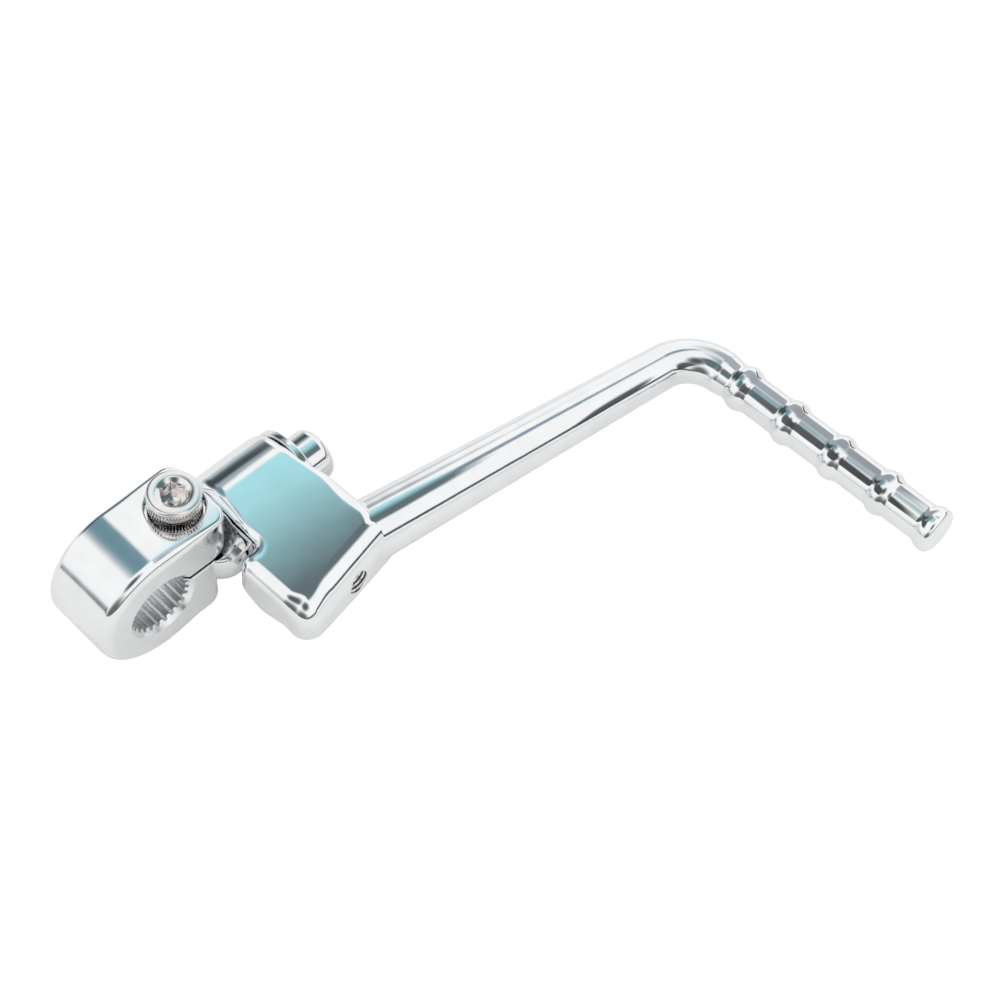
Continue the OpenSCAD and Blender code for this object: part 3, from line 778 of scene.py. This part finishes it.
def build_clamp(scene):
    """The clamp forging with its splined bore, in the place of the packed one."""
    size, pivot = Sizes(scene.lever_clamp), Sizes(scene.lever_pivot)
    field, unpolished = clamp_solid(size, pivot)
    points, quads = formed(field, (-18.5, -17.2, -18.5), (47.2, 12.2, 18.5), CLAMP_CELL)
    blank = new_object("clamp_blank", points, quads.tolist(), [finish("chrome"), finish("bore"), finish("grain")])
    points, faces = spline_tool(size)
    tool = new_object("bore_tool", points, faces, [finish("chrome"), finish("bore")], which=np.ones(len(faces)))
    cutter = blank.modifiers.new("bore", "BOOLEAN")
    cutter.operation = "DIFFERENCE"
    cutter.solver = "EXACT"
    cutter.object = tool
    bpy.context.view_layer.update()
    depsgraph = bpy.context.evaluated_depsgraph_get()
    mesh = bpy.data.meshes.new_from_object(blank.evaluated_get(depsgraph))
    for spent in (blank, tool):
        old = spent.data
        bpy.data.objects.remove(spent)
        bpy.data.meshes.remove(old)
    mesh.name = "clamp"
    obj = bpy.data.objects.new("clamp", mesh)
    scene.collection.objects.link(obj)
    shade_clamp(mesh, field, unpolished, pivot)
    stand_in(obj, "clamp", "clamp_boss")


def shade_clamp(mesh, field, unpolished, pivot):
    """Smooth normals from the field outside the bore, crisp ones in it, and the grain in the pocket."""
    co = np.empty(len(mesh.vertices) * 3)
    mesh.vertices.foreach_get("co", co)
    co = co.reshape(-1, 3) / MM
    normals = normals_of(field, co)
    index = np.empty(len(mesh.polygons), np.int32)
    mesh.polygons.foreach_get("material_index", index)
    starts, totals = np.empty(len(index), np.int32), np.empty(len(index), np.int32)
    mesh.polygons.foreach_get("loop_start", starts)
    mesh.polygons.foreach_get("loop_total", totals)
    loops = np.empty(len(mesh.loops), np.int32)
    mesh.loops.foreach_get("vertex_index", loops)
    face_of = np.repeat(np.arange(len(index)), totals)
    middles = np.stack([np.bincount(face_of, co[loops, i], len(index)) for i in range(3)], 1) / totals[:, None]
    x, y, z = middles.T
    outer_wall, bore_wall, grain = 0, 1, 2
    pocket = (unpolished(x, y, z) < 0.3) & (index == outer_wall)
    pocket &= (x > 16.2) & (x < pivot.neck_end - 0.3) & (z > 3.4) & (z < 12.2)
    ragged_rim = -11.0 + 0.3 * np.sin(1.7 * z)
    index[pocket & (y > ragged_rim)] = grain
    mesh.polygons.foreach_set("material_index", index)
    mesh.polygons.foreach_set("use_smooth", np.ones(len(index), bool))
    mesh.set_sharp_from_angle(angle=math.radians(24))
    corner_normals = normals[loops]
    corner_normals[index[face_of] == bore_wall] = 0
    mesh.normals_split_custom_set(corner_normals.tolist())
    mesh.update()


def build_arm(scene):
    """The arm forging, in the place of the packed one."""
    size, pivot, peg = Sizes(scene.lever_arm), Sizes(scene.lever_pivot), Sizes(scene.lever_peg)
    field = arm_solid(size, pivot, peg)
    points, quads = formed(field, (16.5, -122, -13), (158, 12, 13), ARM_CELL)
    x, y, z = points[quads].mean(1).T
    tapped = (np.hypot(x - pivot.track_x, z) < size.drilling_r + 0.15) & (y < -12)
    obj = new_object("arm", points, quads.tolist(), [finish("chrome"), finish("thread")], tapped)
    stand_in(obj, "arm", "kick_arm")
    obj.data.normals_split_custom_set_from_vertices(normals_of(field, points).tolist())


def cap_screw(size, head_r, head_h, edge, shank_len, columns, knurls=0, knurl_depth=0.0):
    """A socket head cap screw, turned and knurled, with its head's base at height 0."""
    turn = np.arange(columns) * 2 * math.pi / columns
    hexagon = size.socket / 2 / np.cos((turn % (math.pi / 3)) - math.pi / 6)
    wave = np.abs((turn * knurls / (2 * math.pi)) % 1 - 0.5) * 2 if knurls else np.zeros(columns)
    ridge = knurl_depth * np.clip(wave * 1.3 - 0.1, 0, 1)
    mouth_r = size.socket / 2 / math.cos(math.pi / 6) + 0.9
    floor = head_h - size.socket_depth
    shank_r = size.shank_r
    stations = [(0.6, -shank_len), (shank_r - 0.8, -shank_len), (shank_r, 0.8 - shank_len), (shank_r, -0.3),
                (shank_r + 0.01, 0), (head_r - 0.5, 0)]
    stations += arc(head_r - 0.4, 0.4, 0.4, -80, 0, 4)
    low, high = 0.7, head_h - edge - (0.7 if knurls else 0.15)
    rings = 6
    for i in range(rings + 1):
        stations.append((head_r - ridge * (0.5 if i in (0, rings) else 1), low + (high - low) * i / rings))
    if knurls:
        stations += [(head_r - 0.15, high + 0.12), (head_r - 0.04, high + 0.3)]
    else:
        stations.append((head_r, high + 0.08))
    stations += arc(head_r - edge, head_h - edge, edge, 0, 90, 8)
    stations += [(head_r - edge - 0.4, head_h), (mouth_r + 0.15, head_h), (mouth_r + 0.05, head_h - 0.02)]
    for depth in np.linspace(0.1, 1.2, 9):
        stations.append((np.maximum(hexagon, mouth_r - depth), head_h - depth * 0.6))
    stations += [(hexagon, head_h - 1.6), (hexagon, floor + 0.15), (hexagon - 0.15, floor)]
    stations += [(hexagon * 0.55, floor - 0.05), (hexagon * 0.5, floor - 0.35), (0.1, floor - 0.9)]
    return turned(stations, columns)


def add_turned(name, points, faces, key, node):
    """A turned piece of the clamp's body, with its crisp edges marked."""
    obj = new_object(name, points, faces, [finish(key)])
    stand_in(obj, "clamp", node)
    obj.data.set_sharp_from_angle(angle=math.radians(32))


def build_pinch_screw(scene):
    """The stainless pinch screw with its knurled head."""
    clamp, size = Sizes(scene.lever_clamp), Sizes(scene.lever_screws)
    points, faces = cap_screw(size, size.head_r, size.head_h, 0.75, size.pinch_len, size.knurls * 8,
                              size.knurls, size.knurl_depth)
    points = placed(points, (clamp.pinch_x, 0, clamp.seat_z), "Z")
    add_turned("pinch_screw_head", points, faces, "stainless", "pinch_screw")


def build_pivot(scene):
    """The washer on the post's end and the smooth screw that holds it."""
    pivot, size = Sizes(scene.lever_pivot), Sizes(scene.lever_screws)
    outer, thick, hole = pivot.washer_r, pivot.washer_t, size.shank_r + 0.2
    stations = [(hole, 0.2), (hole, thick - 0.2)] + arc(hole + 0.2, thick - 0.2, 0.2, 180, 90, 3)
    stations += arc(outer - 0.5, thick - 0.5, 0.5, 90, 0, 6) + arc(outer - 0.3, 0.3, 0.3, 0, -90, 4)
    stations += arc(hole + 0.2, 0.2, 0.2, -90, -180, 3)[:-1]
    points, faces = turned(stations, 144, closed=False)
    faces = [face[::-1] for face in faces]
    points = placed(points, (pivot.post_end, -pivot.offset, 0), "X")
    add_turned("pivot_washer_ring", points, faces, "plated", "pivot_washer")
    points, faces = cap_screw(size, size.pivot_head_r, size.pivot_head_h, 2.5, size.pivot_len, 144)
    points = placed(points, (pivot.post_end + pivot.washer_t, -pivot.offset, 0), "X")
    add_turned("pivot_screw_head", points, faces, "plated", "pivot_screw")


def finish_detent():
    """The detent's ball, spring and grub screw keep their packed forms and get their finishes."""
    for node, key in (("detent_ball", "steel"), ("detent_spring", "steel"), ("detent_plug", "oxide")):
        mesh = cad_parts[node].data
        mesh.materials.clear()
        mesh.materials.append(finish(key))


# Stage

CAMERA_PLACE = (-0.1990, -0.2877, 0.5547)
CAMERA_TURN = (-48.39, 56.21, 5.30)
CAMERA_LENS = 100.6


def add_camera(scene):
    """The camera at the photograph's angle."""
    azimuth, height, roll = (math.radians(a) for a in CAMERA_TURN)
    level = Vector((math.cos(azimuth), math.sin(azimuth), 0))
    outward = Vector((math.sin(azimuth), -math.cos(azimuth), 0))
    back = outward * math.cos(height) + Vector((0, 0, math.sin(height)))
    rise = back.cross(level)
    right = math.cos(roll) * level + math.sin(roll) * rise
    up = math.cos(roll) * rise - math.sin(roll) * level
    data = bpy.data.cameras.new("camera")
    data.sensor_width, data.lens = 36.0, CAMERA_LENS
    data.clip_start, data.clip_end = 0.01, 20.0
    camera = bpy.data.objects.new("camera", data)
    scene.collection.objects.link(camera)
    camera.matrix_world = Matrix.Translation(CAMERA_PLACE) @ Matrix((right, up, back)).transposed().to_4x4()
    scene.camera = camera


def mirror_only(obj):
    """Lets only the plating see an object."""
    obj.visible_camera = obj.visible_diffuse = obj.visible_shadow = obj.visible_transmission = False


def add_sheet(scene, name, middle, half, material):
    """A level sheet of the stage."""
    mesh = bpy.data.meshes.new(name)
    mesh.from_pydata([(-1, -1, 0), (1, -1, 0), (1, 1, 0), (-1, 1, 0)], [], [(0, 1, 2, 3)])
    mesh.materials.append(material)
    sheet = bpy.data.objects.new(name, mesh)
    scene.collection.objects.link(sheet)
    sheet.location = middle
    sheet.scale = (half[0], half[1], 1)
    sheet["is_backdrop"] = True
    return sheet


def add_floors(scene):
    """A wide matt floor below the folded arm, and one close under the lever that only the plating mirrors."""
    low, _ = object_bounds()
    paint = floor_paint("floor_paint", list(scene.lever_finish.floor))
    add_sheet(scene, "floor", (0, 0, low.y - 0.003), (3, 3), paint)
    mirror_only(add_sheet(scene, "mirrored_floor", (0, 0, low.z - 0.0001), (3, 3), paint))


def add_lamp(scene, name, place, aim, width, power):
    """A soft square lamp that isn't mirrored in the plating."""
    data = bpy.data.lights.new(name, "AREA")
    data.shape, data.size, data.energy = "SQUARE", width, power
    lamp = bpy.data.objects.new(name, data)
    scene.collection.objects.link(lamp)
    lamp.location = place
    lamp.rotation_euler = (Vector(aim) - Vector(place)).to_track_quat("-Z", "Y").to_euler()
    lamp.visible_glossy = False


def facing(paint, direction, toward, outer, inner):
    """1 where a direction lies within the inner angle of another, 0 beyond the outer one, in degrees."""
    dot = paint.add("ShaderNodeVectorMath", {0: direction, 1: Vector(toward).normalized()}, operation="DOT_PRODUCT")
    return paint.add("ShaderNodeMapRange", {
        "Value": dot.outputs["Value"], "From Min": math.cos(math.radians(outer)),
        "From Max": math.cos(math.radians(inner))}, interpolation_type="SMOOTHSTEP").outputs["Result"]


# Each band of the studio's walls: height from -1 to 1, colour
HEIGHT_BANDS = [
    (-1.00, (0.86, 0.87, 0.87)),
    (-0.08, (0.80, 0.82, 0.83)),
    (0.02, (0.74, 0.77, 0.79)),
    (0.22, (0.96, 0.97, 0.98)),
    (0.40, (1.00, 1.00, 1.00)),
    (1.00, (0.98, 0.99, 1.00)),
]
# Each patch: direction, outer and inner angle in degrees, colour
STUDIO_PATCHES = [
    ((0.45, 0.88, -0.02), 45, 20, (0.52, 0.60, 0.65)),
    ((-0.906, -0.42, 0.02), 40, 14, (0.14, 0.15, 0.15)),
    ((-0.93, 0.37, 0.03), 9, 2, (0.20, 0.23, 0.25)),
    ((0.10, 0.84, 0.53), 31, 14, (0.06, 0.075, 0.08)),
    ((0.80, 0.55, 0.25), 28, 23, (0.98, 0.99, 1.00)),
    ((0.25, 0.60, 0.76), 18, 4, (0.40, 0.46, 0.52)),
    ((-0.42, -0.37, 0.83), 24, 3, (0.09, 0.11, 0.12)),
    ((-0.02, 0.50, 0.865), 26, 2, (0.16, 0.29, 0.35)),
    ((0.43, 0.42, 0.80), 15, 7, (1.00, 1.00, 1.00)),
    ((0.41, 0.15, 0.90), 9, 3, (0.26, 0.33, 0.40)),
]
# The dark rail that runs round the studio: the axis that it circles, its two edges in degrees from the axis, colour
RAIL_AXIS = (-0.209, 0.249, 0.9455)
RAIL_LOW, RAIL_HIGH = (96, 92), (87.5, 84)
RAIL_COLOUR = (0.08, 0.09, 0.10)
# Each card: name, middle in metres, half sizes, colour at its outboard end, colour at its inboard end
STUDIO_CARDS = [
    ("ceiling_card", (0.0775, -0.012, 0.111), (0.0525, 0.0615), (0.130, 0.175, 0.190), (0.43, 0.80, 0.86)),
    ("peg_dark_card", (0.1295, -0.084, 0.021), (0.0125, 0.028), (0.075, 0.075, 0.08), (0.11, 0.11, 0.12)),
    ("peg_grey_card", (0.1670, -0.070, 0.021), (0.0185, 0.040), (0.33, 0.36, 0.39), (0.40, 0.44, 0.48)),
]


def card_paint(name, outboard, inboard):
    """A glow that turns from one colour to another across the card and fades out towards its rim."""
    material, paint = new_material(name)
    place = paint.add("ShaderNodeTexCoord").outputs["Object"]
    parts = paint.add("ShaderNodeSeparateXYZ", {"Vector": place})
    colours = paint.tint(paint.span(parts.outputs["Y"], 0, 1, -0.18, 0.48), outboard, inboard)
    squared = paint.add("ShaderNodeVectorMath", {0: place, 1: place}, operation="MULTIPLY")
    reach = paint.add("ShaderNodeVectorMath", {0: squared.outputs["Vector"]}, operation="LENGTH")
    mask = paint.span(reach.outputs["Value"], 1, 0, 0.55, 1.0)
    clear = paint.add("ShaderNodeBsdfTransparent").outputs["BSDF"]
    glow = paint.add("ShaderNodeEmission", {"Color": colours}).outputs["Emission"]
    paint.cover(paint.choose(mask, clear, glow))
    return material


def add_studio(scene):
    """The studio: pale walls with a dark rail and patches for the plating to mirror, plain paper for all else."""
    scene.world = bpy.data.worlds.new("studio")
    scene.world.use_nodes = True
    paint = Paint(scene.world.node_tree)
    direction = paint.add("ShaderNodeTexCoord").outputs["Generated"]
    parts = paint.add("ShaderNodeSeparateXYZ", {"Vector": direction})
    height = paint.add("ShaderNodeMapRange", {"Value": parts.outputs["Z"], "From Min": -1.0})
    bands = paint.add("ShaderNodeValToRGB", {"Fac": height.outputs["Result"]})
    ramp = bands.color_ramp
    ramp.interpolation = "EASE"
    while len(ramp.elements) < len(HEIGHT_BANDS):
        ramp.elements.new(0.5)
    for element, (at, shade) in zip(ramp.elements, HEIGHT_BANDS):
        element.position = (at + 1) / 2
        element.color = (*shade, 1)
    rail = paint.add("ShaderNodeMath", {
        0: facing(paint, direction, RAIL_AXIS, *RAIL_LOW),
        1: facing(paint, direction, RAIL_AXIS, *RAIL_HIGH)}, operation="SUBTRACT")
    seen = paint.tint(rail.outputs["Value"], bands.outputs["Color"], RAIL_COLOUR)
    for toward, outer, inner, shade in STUDIO_PATCHES:
        seen = paint.tint(facing(paint, direction, toward, outer, inner), seen, shade)
    studio = paint.add("ShaderNodeBackground", {"Color": seen}).outputs["Background"]
    paper = paint.add("ShaderNodeBackground", {"Color": (1, 1, 1), "Strength": 0.8}).outputs["Background"]
    rays = paint.add("ShaderNodeLightPath")
    paint.add("ShaderNodeOutputWorld", {"Surface": paint.choose(rays.outputs["Is Glossy Ray"], paper, studio)})


def build_stage(scene):
    """Floors, studio, lamps, cards and camera."""
    add_floors(scene)
    add_studio(scene)
    add_lamp(scene, "key_lamp", (-0.5, -0.3, 1.4), (0.06, -0.04, 0), 1.2, 3.6)
    add_lamp(scene, "fill_lamp", (0.9, 0.6, 1.2), (0.06, -0.04, 0), 1.2, 1.0)
    for name, middle, half, outboard, inboard in STUDIO_CARDS:
        mirror_only(add_sheet(scene, name, middle, half, card_paint(name, outboard, inboard)))
    add_camera(scene)
    scene.view_settings.view_transform = "Standard"


# Operators

class LEVER_OT_clamp(bpy.types.Operator):
    """Build the polished clamp with its splined bore"""
    bl_idname = "lever.clamp"
    bl_label = "Clamp"

    def execute(self, context):
        build_clamp(context.scene)
        return {"FINISHED"}


class LEVER_OT_arm(bpy.types.Operator):
    """Build the forged arm with its ribbed peg"""
    bl_idname = "lever.arm"
    bl_label = "Arm"

    def execute(self, context):
        build_arm(context.scene)
        return {"FINISHED"}


class LEVER_OT_screws(bpy.types.Operator):
    """Build the pinch screw, the pivot screw and the washer"""
    bl_idname = "lever.screws"
    bl_label = "Screws and washer"

    def execute(self, context):
        build_pinch_screw(context.scene)
        build_pivot(context.scene)
        return {"FINISHED"}


class LEVER_OT_detent(bpy.types.Operator):
    """Give the detent's ball, spring and grub screw their finishes"""
    bl_idname = "lever.detent"
    bl_label = "Detent"

    def execute(self, context):
        finish_detent()
        return {"FINISHED"}


class LEVER_OT_stage(bpy.types.Operator):
    """Set the floor, the lamps, the studio and the camera"""
    bl_idname = "lever.stage"
    bl_label = "Stage"

    def execute(self, context):
        build_stage(context.scene)
        return {"FINISHED"}


OPERATORS = (LEVER_OT_clamp, LEVER_OT_arm, LEVER_OT_screws, LEVER_OT_detent, LEVER_OT_stage)


class LEVER_PT_panel(bpy.types.Panel):
    """The lever's builders, and the sizes and finishes that they use"""
    bl_idname = "LEVER_PT_panel"
    bl_label = "Kick start lever"
    bl_space_type = "VIEW_3D"
    bl_region_type = "UI"
    bl_category = "Lever"

    def draw(self, context):
        for operator in OPERATORS:
            self.layout.operator(operator.bl_idname)
        for name, group in GROUPS.items():
            box = self.layout.box()
            box.label(text=group.__doc__)
            for prop in group.__annotations__:
                box.prop(getattr(context.scene, name), prop)


CLASSES = (*GROUPS.values(), *OPERATORS, LEVER_PT_panel)


def register():
    for cls in CLASSES:
        bpy.utils.register_class(cls)
    for name, group in GROUPS.items():
        setattr(bpy.types.Scene, name, bpy.props.PointerProperty(type=group))


def unregister():
    for name in GROUPS:
        delattr(bpy.types.Scene, name)
    for cls in reversed(CLASSES):
        bpy.utils.unregister_class(cls)


def main():
    register()
    bpy.ops.lever.clamp()
    bpy.ops.lever.arm()
    bpy.ops.lever.screws()
    bpy.ops.lever.detent()
    bpy.ops.lever.stage()


if __name__ == "__main__":
    main()
